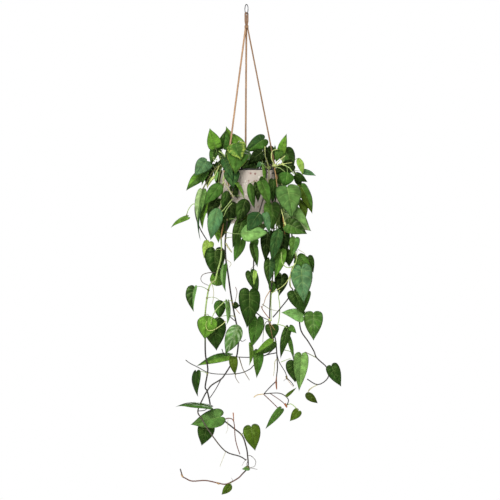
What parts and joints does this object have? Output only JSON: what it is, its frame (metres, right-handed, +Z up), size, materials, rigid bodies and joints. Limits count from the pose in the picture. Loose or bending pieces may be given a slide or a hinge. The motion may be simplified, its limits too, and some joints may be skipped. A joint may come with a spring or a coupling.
{
  "type": "potted heartleaf philodendron in a hanging pot",
  "caption": "Trailing heartleaf philodendron in a speckled ceramic pot that hangs from a metal ring by leather laces.",
  "frame": {"origin": "top of the ring's hole, where a hook carries the whole object", "axes": "+Z up along the way it hangs, -Y towards the side that the picture shows, +X to its right"},
  "size_m": [0.513, 0.2955, 1.4758],
  "materials": {
    "ring_metal": "polished",
    "leather": "matte",
    "ceramic": "matte",
    "plastic": "satin",
    "soil": "matte",
    "plant": "satin"
  },
  "bodies": {
    "root": {"hang_ring": "ring_metal", "lace_loop": "leather", "lace_binding": "leather", "pot": "ceramic", "liner_rim": "plastic", "soil": "soil", "lace_left": "leather", "lace_right": "leather", "lace_back": "leather", "vine_left_side": "plant", "vine_crown_left": "plant", "vine_long_left": "plant", "vine_long_dark": "plant", "vine_centre": "plant", "vine_crown_centre": "plant", "vine_crown_right": "plant", "vine_right": "plant", "vine_far_right": "plant", "vine_right_centre": "plant", "vine_back_1": "plant", "vine_back_2": "plant", "vine_back_3": "plant", "vine_back_4": "plant", "vine_back_5": "plant"}
  },
  "joints": []
}
